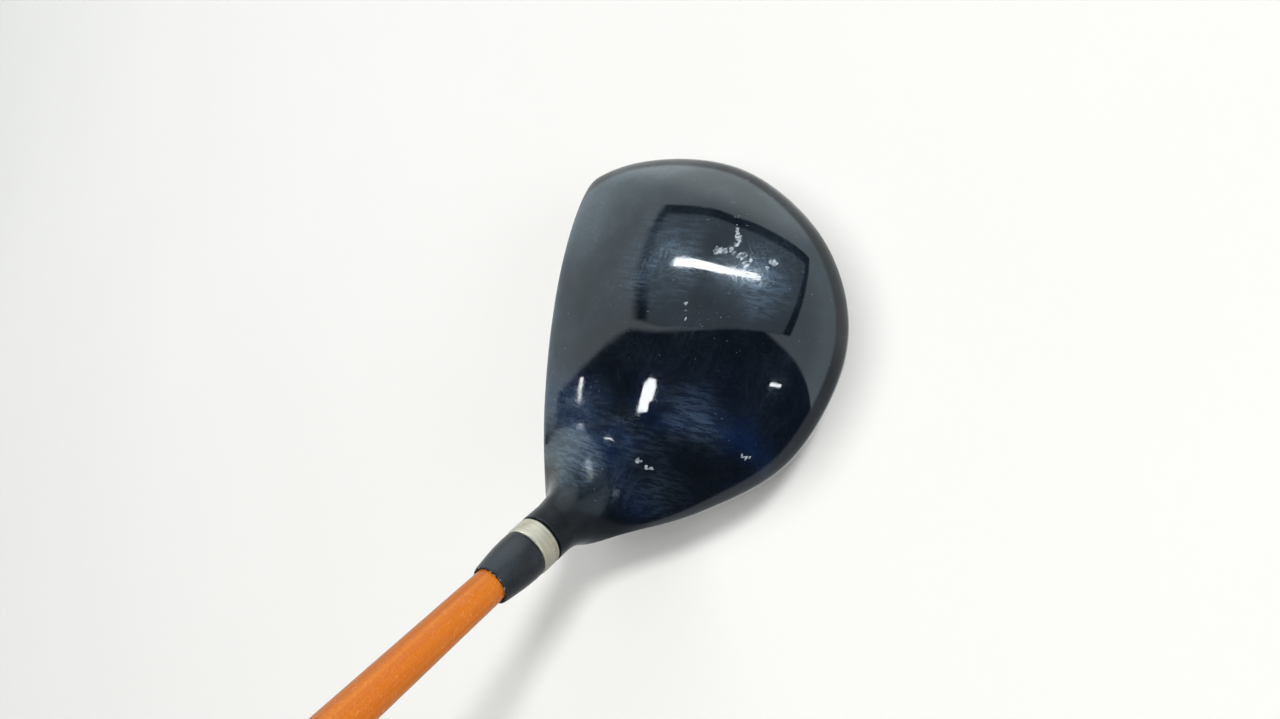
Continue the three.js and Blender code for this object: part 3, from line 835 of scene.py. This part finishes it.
PAINT_DARK = rgb("070c13")
# blue of the painted pearl sheen
PEARL_SHEEN_BLUE = rgb("0b1f42")
PAINT_FLAKE = rgb("1b3a66")
# grey of the wiped coat, partly a painted reflection
WIPED_AND_REFLECTED_GREY = rgb("52657c")
SPECK_GREY = rgb("7c8894")
RUBBED_METAL = rgb("8d8f92")
CHIP_DARK, CHIP_LIGHT = rgb("6d7880"), rgb("b4bcc2")


def paint(name):
    """Deep navy pearl with a painted blue sheen, under a clear coat clouded by wiping and partly greyed by a
    painted reflection, with chips and a rubbed sole.
    """
    f = Finish(name)
    height = f.axis(f.place, 2)
    neck = f.near(tuple(HOSEL_END * MM), 0.018, 0.036)
    cloud = f.noise(f.along((26, 34, 30), (0, 0, 0.4), (0.31, 0.12, 0)), 1.0, 4.0, 0.6, 0.5)
    flake = f.cells(f.place, 5200.0)
    # painted sheen: the pearl blue is laid on by place towards -y, patchy with the cloud noise, and kept off
    # the hosel neck
    pearl_blue_and_sheen = f.calc("MULTIPLY", f.ramp(f.axis(f.place, 1), 0.0, -0.02), f.ramp(cloud, 0.36, 0.7))
    pearl_blue_and_sheen = f.calc("MULTIPLY", pearl_blue_and_sheen, f.calc("SUBTRACT", 1.0, neck))
    colour = f.blend(pearl_blue_and_sheen, PAINT_DARK, PEARL_SHEEN_BLUE)
    colour = f.blend(f.ramp(flake, 0.12, 0.02, 0.0, 0.2), colour, PAINT_FLAKE)

    swirl = f.scratches(5, 420.0, 22.0, 0.014)
    fine = f.scratches(4, 900.0, 16.0, 0.02, 1.15)
    smear = f.noise(f.along((60, 60, 60)), 1.0, 4.0)
    clouded = 0.0
    for centre, reach in CROWN_HAZE:
        zone = f.near(tuple(c * MM for c in centre), 0.0, reach * MM)
        zone = f.calc("MULTIPLY", zone, f.ramp(cloud, 0.25, 0.6, 0.35, 1.0))
        clouded = f.calc("MAXIMUM", clouded, zone)
    patch = f.calc("MAXIMUM", clouded, f.ramp(smear, 0.3, 0.7, 0.0, 0.4))
    clouded = f.calc("MULTIPLY", clouded, f.ramp(smear, 0.32, 0.58))
    haze = f.calc("MULTIPLY", f.calc("MAXIMUM", swirl, f.calc("MULTIPLY", fine, 0.6)), patch)
    wiped = f.ramp(f.noise(f.along((170, 1100, 700), (0, 0, 0.2)), 1.0, 4.0, 0.7), 0.42, 0.6)
    veil = f.calc("MAXIMUM", f.calc("MULTIPLY", clouded, f.calc("MULTIPLY", wiped, 0.7)),
                  f.calc("MULTIPLY", patch, haze))
    veil = f.calc("ADD", f.calc("MULTIPLY", veil, 1.5), f.calc("MULTIPLY", patch, 0.3))

    chips = None
    for centre, reach in chip_places():
        mask = f.near(tuple(c * MM for c in centre), 0.0, reach * MM)
        chips = mask if chips is None else f.calc("MAXIMUM", chips, mask)
    torn = f.noise(f.along((1500, 600, 1100), (0, 0, 0.9)), 1.0, 4.0, 0.8, 0.5)
    chips = f.ramp(f.calc("ADD", torn, f.calc("MULTIPLY", chips, 0.42)), 0.74, 0.77)
    speck = f.noise(f.along((620, 1500, 900), (0, 0, 0.25)), 1.0, 2.0, 0.6)
    speck = f.calc("MULTIPLY", f.ramp(speck, 0.7, 0.76), f.ramp(cloud, 0.42, 0.55))
    rubbed = f.ramp(height, 0.0035, 0.0002)
    rubbed = f.calc("MULTIPLY", rubbed, f.noise(f.along((900, 60, 300), (0, 0, 0.12)), 1.0, 5.0, 0.7))
    rubbed = f.ramp(rubbed, 0.42, 0.6)

    # grey film over the wiped patches and swirl marks: partly clouded coat, partly a painted reflection of a
    # grey room
    film_and_reflection = f.calc("MULTIPLY", clouded, f.ramp(wiped, 0.0, 1.0, 0.1, 0.42))
    colour = f.blend(f.calc("MAXIMUM", film_and_reflection, f.calc("MULTIPLY", haze, 0.14)), colour, WIPED_AND_REFLECTED_GREY)
    colour = f.blend(f.calc("MULTIPLY", speck, 0.5), colour, SPECK_GREY)
    colour = f.blend(chips, colour, f.blend(f.ramp(torn, 0.45, 0.6), CHIP_DARK, CHIP_LIGHT))
    colour = f.blend(rubbed, colour, RUBBED_METAL)
    worn = f.calc("MAXIMUM", chips, rubbed)
    relief = f.calc("ADD", f.calc("MULTIPLY", haze, -0.12), f.calc("MULTIPLY", worn, -0.5))
    ripple = f.noise(f.along((260, 260, 260)), 1.0, 1.0)
    normal = f.bump(ripple, 0.03, 0.0002)
    gloss = f.calc("MULTIPLY", f.ramp(worn, 0.0, 1.0, 1.0, 0.1), f.ramp(neck, 0.0, 1.0, 1.0, 0.4))
    dull = f.calc("MAXIMUM", f.calc("MULTIPLY", haze, 0.16), f.calc("MULTIPLY", neck, 0.22))
    return f.surface(
        Base_Color=colour, Metallic=f.ramp(rubbed, 0.0, 1.0, 0.05, 0.9),
        Roughness=f.ramp(cloud, 0.3, 0.7, 0.16, 0.26), Specular_Tint=(0.6, 0.82, 1.0, 1.0),
        Specular_IOR_Level=veil, Coat_Weight=gloss, Coat_IOR=1.62,
        Coat_Roughness=f.calc("MAXIMUM", dull, 0.012),
        Coat_Normal=f.bump(relief, 0.2, 0.00005, normal), Normal=f.bump(relief, 0.3, 0.0001))


def brushed_collar():
    """Satin nickel, brushed round the collar."""
    f = Finish("sleeve_alloy")
    lines = f.noise(f.on_shaft((60, 60, 9000)), 1.0, 3.0, 0.7)
    blotch = f.noise(f.on_shaft((240, 240, 240)), 1.0, 3.0)
    colour = f.blend(f.ramp(lines, 0.3, 0.7), rgb("bcb4a0"), rgb("e9e1ce"))
    colour = f.blend(f.ramp(blotch, 0.55, 0.75, 0.0, 0.4), colour, rgb("a39d8c"))
    nick = f.ramp(f.noise(f.along((1500, 900, 1200)), 1.0, 2.0), 0.72, 0.76)
    height = f.calc("SUBTRACT", f.calc("MULTIPLY", lines, 0.4), nick)
    return f.surface(Base_Color=colour, Metallic=0.9, Roughness=f.ramp(lines, 0.3, 0.7, 0.36, 0.5),
                     Anisotropic=0.5, Normal=f.bump(height, 0.35, 0.00004))


def cast_metal(name, dark, light, roughness, grain=1800.0, metallic=0.9):
    """Plain metal with a fine grain, light scratches and a little staining."""
    f = Finish(name)
    grit = f.noise(f.along((grain, grain, grain)), 1.0, 2.0)
    stain = f.noise(f.along((120, 120, 120)), 1.0, 4.0)
    marks = f.scratches(3, 500.0, 18.0, 0.01, 1.1)
    colour = f.blend(f.ramp(stain, 0.35, 0.7), rgb(dark), rgb(light))
    colour = f.blend(f.calc("MULTIPLY", marks, 0.3), colour, rgb("d8d9da"))
    height = f.calc("SUBTRACT", f.calc("MULTIPLY", grit, 0.5), f.calc("MULTIPLY", marks, 0.6))
    return f.surface(Base_Color=colour, Metallic=metallic,
                     Roughness=f.ramp(grit, 0.3, 0.7, roughness - 0.06, roughness + 0.08),
                     Normal=f.bump(height, 0.3, 0.00004))


def face_metal():
    """Milled face: fine upright brush lines, scuffs and a duller middle."""
    f = Finish("face_steel")
    brush = f.noise(f.along((300, 6000, 60)), 1.0, 3.0, 0.7)
    wear = f.ramp(f.noise(f.along((80, 80, 80)), 1.0, 4.0), 0.4, 0.7)
    struck = f.near(tuple(c * MM for c in FACE_CENTRE), 0.004, 0.022)
    colour = f.blend(f.ramp(brush, 0.3, 0.7), rgb("74777c"), rgb("9c9ea2"))
    colour = f.blend(f.calc("MULTIPLY", wear, struck), colour, rgb("b9babb"))
    marks = f.scratches(3, 380.0, 14.0, 0.012, 0.7)
    height = f.calc("SUBTRACT", f.calc("MULTIPLY", brush, 0.4), marks)
    return f.surface(Base_Color=colour, Metallic=0.92,
                     Roughness=f.ramp(wear, 0.0, 1.0, 0.34, 0.5), Normal=f.bump(height, 0.3, 0.00005))


def ferrule_plastic():
    """Black plastic, satin, with a chip where the shaft enters and rubbed edges."""
    f = Finish("ferrule_plastic")
    level = f.axis(f.on_shaft(), 2)
    mottle = f.noise(f.on_shaft((300, 300, 300)), 1.0, 3.0)
    edge = f.ramp(level, 17.2 * MM, 17.9 * MM)
    torn = f.noise(f.along((900, 900, 900)), 1.0, 3.0, 0.7)
    chip = f.ramp(f.calc("MULTIPLY", edge, torn), 0.56, 0.62)
    place = tuple((HOSEL_END + SHAFT_LINE * 17.7 + np.array([3.6, 0.6, 3.6])) * MM)
    chip = f.calc("MAXIMUM", chip, f.calc("MULTIPLY", edge, f.near(place, 0.0008, 0.0016)))
    colour = f.blend(f.ramp(mottle, 0.35, 0.7), rgb("10151b"), rgb("191f26"))
    colour = f.blend(chip, colour, rgb("8f9599"))
    turned_lines = f.noise(f.on_shaft((50, 50, 5000)), 1.0, 2.0)
    return f.surface(Base_Color=colour, Roughness=f.ramp(mottle, 0.3, 0.7, 0.24, 0.34),
                     Specular_IOR_Level=0.35, Coat_Weight=0.2, Coat_Roughness=0.2,
                     Normal=f.bump(turned_lines, 0.08, 0.00003))


def shaft_lacquer():
    """Glossy orange lacquer over carbon, faintly streaked along the shaft."""
    f = Finish("shaft_lacquer")
    streak = f.noise(f.on_shaft((900, 900, 6)), 1.0, 3.0)
    cloud = f.noise(f.on_shaft((40, 40, 12)), 1.0, 2.0)
    colour = f.blend(f.ramp(streak, 0.3, 0.7), rgb("c26508"), rgb("d27810"))
    colour = f.blend(f.ramp(cloud, 0.4, 0.7, 0.0, 0.35), colour, rgb("b45508"))
    marks = f.scratches(2, 600.0, 20.0, 0.01, 0.9)
    colour = f.blend(f.calc("MULTIPLY", marks, 0.15), colour, rgb("f0c69a"))
    return f.surface(Base_Color=colour, Roughness=f.ramp(streak, 0.3, 0.7, 0.3, 0.4),
                     Specular_IOR_Level=0.15, Coat_Weight=0.45, Coat_IOR=1.4,
                     Coat_Roughness=f.ramp(marks, 0.0, 1.0, 0.06, 0.3),
                     Normal=f.bump(streak, 0.05, 0.00003))


def moulded(name, dark, light, roughness, scale=2600.0):
    """Rubber, glue or paper: fine texture with soft patches of wear."""
    f = Finish(name)
    fine = f.noise(f.along((scale, scale, scale)), 1.0, 3.0, 0.6)
    patch = f.noise(f.along((60, 60, 60)), 1.0, 4.0)
    colour = f.blend(f.ramp(patch, 0.35, 0.7), rgb(dark), rgb(light))
    colour = f.blend(f.ramp(fine, 0.5, 0.8, 0.0, 0.3), colour, rgb(light))
    return f.surface(Base_Color=colour, Specular_IOR_Level=0.35,
                     Roughness=f.ramp(patch, 0.3, 0.7, roughness + 0.06, roughness - 0.08),
                     Normal=f.bump(fine, 0.4, 0.00006))


# -------------------- stage
STAGE_RADIUS = 9.0
STAGE_SIDES = 96
STAGE_FADE = (1.1, 3.2)
BACKDROP = (0.93, 0.93, 0.905, 1.0)
PAPER_LOW, PAPER_HIGH = (0.85, 0.85, 0.825, 1), (0.865, 0.865, 0.84, 1)


def floor_finish():
    """Pale table paper, which turns into an even backdrop well away from the object."""
    f = Finish("table_white")
    grain = f.noise(f.along((3, 3, 3)), 1.0, 3.0)
    close = f.near((0, 0, 0), *STAGE_FADE)
    paper = f.blend(f.ramp(grain, 0.3, 0.7), PAPER_LOW, PAPER_HIGH)
    return f.surface(Base_Color=f.blend(close, (0, 0, 0, 1), paper), Roughness=0.7,
                     Specular_IOR_Level=0.2, Emission_Color=BACKDROP,
                     Emission_Strength=f.calc("SUBTRACT", 1.0, close),
                     Normal=f.bump(f.noise(f.along((900, 900, 900)), 1.0, 2.0), 0.05, 0.0001))


def backdrop_finish():
    """The same even backdrop, standing behind the object."""
    f = Finish("backdrop_white")
    grain = f.noise(f.along((1, 1, 1)), 1.0, 2.0)
    glow = f.ramp(grain, 0.3, 0.7, 0.99, 1.01)
    return f.surface(Base_Color=(0, 0, 0, 1), Roughness=1.0, Specular_IOR_Level=0.0,
                     Emission_Color=BACKDROP, Emission_Strength=glow)


# -------------------- studio
class Sky(Finish):
    """The room, painted by direction on a ceiling plane: u is x/z and v is y/z."""

    def __init__(self):
        world = bpy.data.worlds.new("studio")
        bpy.context.scene.world = world
        world.use_nodes = True
        world.cycles_visibility.diffuse = False
        self.tree = world.node_tree
        self.tree.nodes.clear()
        self.place = self.node("ShaderNodeTexCoord").outputs["Generated"]
        x, self.y, self.z = (self.axis(self.place, k) for k in range(3))
        above = self.calc("MAXIMUM", self.z, 0.02)
        self.u, v = self.calc("DIVIDE", x, above), self.calc("DIVIDE", self.y, above)
        self.spot = self.node("ShaderNodeCombineXYZ", {0: self.u, 1: v, 2: 1.0}).outputs[0]

    def reading(self, a, b, c=0.0):
        """a u + b v + c."""
        return self.node("ShaderNodeVectorMath", {0: self.spot, 1: (a, b, c)},
                         operation="DOT_PRODUCT").outputs[1]

    def all_of(self, *edges):
        """1 where every reading is above its limit; each edge is (reading, limit, softness)."""
        total = None
        for value, limit, soft in edges:
            inside = self.ramp(value, limit - soft, limit + soft)
            total = inside if total is None else self.calc("MULTIPLY", total, inside)
        return total

    def panel(self, left, right, bottom, top, spread, soft):
        """A ceiling panel whose right side leans and whose top side rises to the right."""
        rise = self.calc("MULTIPLY", self.calc("MAXIMUM", self.u, 0.0), spread)
        return self.all_of((self.u, left, soft), (self.reading(-1, 0.6), -right, soft),
                           (self.reading(0.1, 1), bottom, 0.012),
                           (self.calc("SUBTRACT", rise, self.reading(0, 1)), -top, soft))

    def bar(self, start, end, across, soft):
        """A lamp with straight sides along the line from start to end; across is half its width."""
        (du, dv), (wu, wv) = np.subtract(end, start), across
        area = du * wv - dv * wu
        along = self.reading(wv / area, -wu / area, (start[1] * wu - start[0] * wv) / area)
        aside = self.reading(-dv / area, du / area, (start[0] * dv - start[1] * du) / area)
        aside = self.calc("SUBTRACT", 1.0, self.calc("ABSOLUTE", aside))
        return self.all_of((along, 0.0, soft * 0.2), (self.calc("SUBTRACT", 1.0, along), 0.0, soft * 0.2),
                           (aside, 0.0, soft))


DARK_ROOM = (0.022, 0.026, 0.032, 1)
WALL_LOW, WALL_HIGH = (1.1, 1.34, 1.44, 1), (0.82, 0.95, 1.02, 1)
FAR_WALL = (1.75, 1.98, 2.08, 1)
PANEL_FRAME = (0.05, 0.06, 0.07, 1)
PANEL_FACE = (0.46, 0.56, 0.64, 1)
GROUND_BEHIND, GROUND_FRONT = (0.72, 0.74, 0.73, 1), (0.42, 0.44, 0.45, 1)

# lamps: both ends of the middle line, half the width, and brightness
LAMPS = [((-0.525, 0.59), (0.23, 0.592), (0.01, 0.027), 20.0),
         ((-0.577, -0.006), (-0.5, -0.154), (0.026, -0.0145), 17.0),
         ((-1.067, 0.112), (-1.064, 0.006), (0.013, 0.0), 15.0),
         ((0.55, -0.304), (0.768, -0.388), (-0.004, -0.012), 17.0)]


def paint_room():
    """What the gloss sees: a dark room, a pale rear wall, a framed ceiling panel and lamps."""
    s = Sky()
    wall = s.blend(s.ramp(s.z, 0.72, 0.3), WALL_HIGH, WALL_LOW)
    wall = s.blend(s.ramp(s.y, 0.76, 0.92), wall, FAR_WALL)
    far_side = s.all_of((s.reading(-1, 0), 1.3, 0.04), (s.reading(0, 1), -0.15, 0.15))
    corner = s.all_of((s.reading(-0.353, 1), 0.522, 0.02))
    lit = s.all_of((s.reading(0.05, 1), 0.2, 0.015))
    lit = s.calc("MAXIMUM", lit, s.calc("MAXIMUM", far_side, corner))
    lit = s.calc("MAXIMUM", lit, s.all_of((s.reading(0.6, 1), 0.37, 0.03), (s.u, 0.2, 0.1)))
    room = s.blend(lit, DARK_ROOM, wall)
    room = s.blend(s.panel(-0.77, 0.62, 0.2, 1.27, 0.45, 0.03), room, PANEL_FRAME)
    room = s.blend(s.panel(-0.7, 0.48, 0.2, 1.1, 0.25, 0.025), room, PANEL_FACE)
    for start, end, across, level in LAMPS:
        glow = (level * 0.96, level * 0.99, level, 1)
        room = s.blend(s.bar(start, end, across, 0.1), room, glow)
    ground = s.blend(s.ramp(s.y, 0.1, -0.35), GROUND_BEHIND, GROUND_FRONT)
    room = s.blend(s.ramp(s.z, 0.1, -0.05), room, ground)
    background = s.node("ShaderNodeBackground", {0: room, 1: 1.0})
    s.node("ShaderNodeOutputWorld", {0: background.outputs[0]})


# lamps that light the object: name, place, size and brightness, in metres and watts
SOFT_BOXES = [("key", (3.3, 2.4, 4.7), 1.0, 232),
              ("overhead", (0.8, 0.0, 4.6), 4.6, 160),
              ("side", (4.6, -0.8, 2.1), 2.8, 54)]


def soft_box(name, place, size, brightness):
    """A large lamp aimed at the head that lights it without showing in its gloss."""
    data = bpy.data.lights.new(name, "AREA")
    data.shape = "DISK"
    data.size = size
    data.energy = brightness
    light = bpy.data.objects.new(name, data)
    light.location = place
    light.rotation_euler = Vector(place).to_track_quat("Z", "Y").to_euler()
    light.visible_glossy = False
    bpy.context.scene.collection.objects.link(light)


def set_stage():
    """A round table top and the backdrop round it; the gloss sees the painted room instead."""
    angles = np.linspace(0, 2 * math.pi, STAGE_SIDES, endpoint=False)
    rim = np.stack([np.cos(angles), np.sin(angles), 0 * angles], axis=1) * STAGE_RADIUS / MM
    floor = make_object("table_top", np.vstack([rim, [(0, 0, 0)]]),
                        fan_faces(0, STAGE_SIDES, STAGE_SIDES, False))
    floor.data.materials.append(floor_finish())
    floor.visible_glossy = False
    wall = make_object("backdrop", np.vstack([rim, rim + (0, 0, STAGE_RADIUS / MM)]),
                       strip_faces(2, STAGE_SIDES))
    wall.data.materials.append(backdrop_finish())
    wall.visible_glossy = wall.visible_diffuse = wall.visible_shadow = False


# the camera's place, the way back from its target, and a direction that is up in its view
EYE = (0.1069, -0.0256, 0.1838)
EYE_BACK = (0.594, -0.124, 0.795)
EYE_UP = (0.012, 0.989, 0.145)


def set_camera():
    back = Vector(EYE_BACK).normalized()
    right = Vector(EYE_UP).cross(back).normalized()
    up = back.cross(right)
    lens = bpy.data.cameras.new("camera")
    lens.lens, lens.sensor_width = 20, 36
    lens.clip_start = 0.005
    camera = bpy.data.objects.new("camera", lens)
    turn = Matrix((right, up, back)).transposed().to_4x4()
    camera.matrix_world = Matrix.Translation(Vector(EYE)) @ turn
    bpy.context.scene.collection.objects.link(camera)
    bpy.context.scene.camera = camera
    bpy.context.scene.view_settings.view_transform = "Standard"


# -------------------- assembly
def dress(obj, material):
    obj.data.materials.clear()
    obj.data.materials.append(material)
    return obj


def place_piece(obj, body, node, material):
    dress(obj, material)
    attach(obj, body)
    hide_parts(node)


whole_skin, crown, body = head_shells()
plate = face_plate(whole_skin)
cut_body(body)
for part in (crown, body, plate):
    keep_normals(part, whole_skin)
bpy.data.objects.remove(whole_skin)

STEEL = cast_metal("screw_steel", "2b2c2f", "45474b", 0.38)
SEAL = moulded("seal_rubber", "141416", "202023", 0.75)
place_piece(body, "head", "body_shell", paint("body_paint"))
place_piece(crown, "head", "crown_plate", paint("crown_paint"))
place_piece(plate, "head", "face_plate", face_metal())
place_piece(shaft_sleeve(), "shaft_assembly", "shaft_sleeve", brushed_collar())
place_piece(ferrule(), "shaft_assembly", "ferrule", ferrule_plastic())
tube = shaft_tube()
tube.visible_glossy = False
place_piece(tube, "shaft_assembly", "shaft", shaft_lacquer())
place_piece(grip_sleeve(), "shaft_assembly", "grip", moulded("grip_rubber", "1b1c1e", "2c2d30", 0.72))
place_piece(grip_cap(), "shaft_assembly", "grip_cap", moulded("cap_rubber", "202123", "303135", 0.6))
place_piece(washer(), "head", "screw_washer", STEEL)
place_piece(screw("hosel_bolt", 4.2, 14.3, ON_SHAFT_LINE, SCREW_SEAT, -1), "hosel_screw_body",
            "hosel_screw", STEEL)
place_piece(weight_cartridge(), "weight_unit", "weight_cartridge",
            cast_metal("weight_metal", "8e8f92", "adaeb1", 0.3))
place_piece(screw("weight_bolt", 2.6, 9.5, ON_WEIGHT_LINE, WEIGHT_SCREW_SEAT + GAP, 1),
            "weight_screw_body", "weight_screw", STEEL)

dress(nodes["hosel_insert"], cast_metal("cast_steel", "808184", "a2a3a5", 0.36))
dress(nodes["tip_weight"], cast_metal("tip_brass", "96702c", "bf9646", 0.34))
dress(nodes["grip_tape"], moulded("tape_paper", "c9c2ac", "ddd7c6", 0.85, 1500.0))
dress(nodes["damping_pad"], moulded("hot_melt", "b58a42", "d2ad6a", 0.45, 500.0))
dress(nodes["screw_retainer"], SEAL)
dress(nodes["weight_gasket"], SEAL)

paint_room()
for box in SOFT_BOXES:
    soft_box(*box)
set_stage()
set_camera()
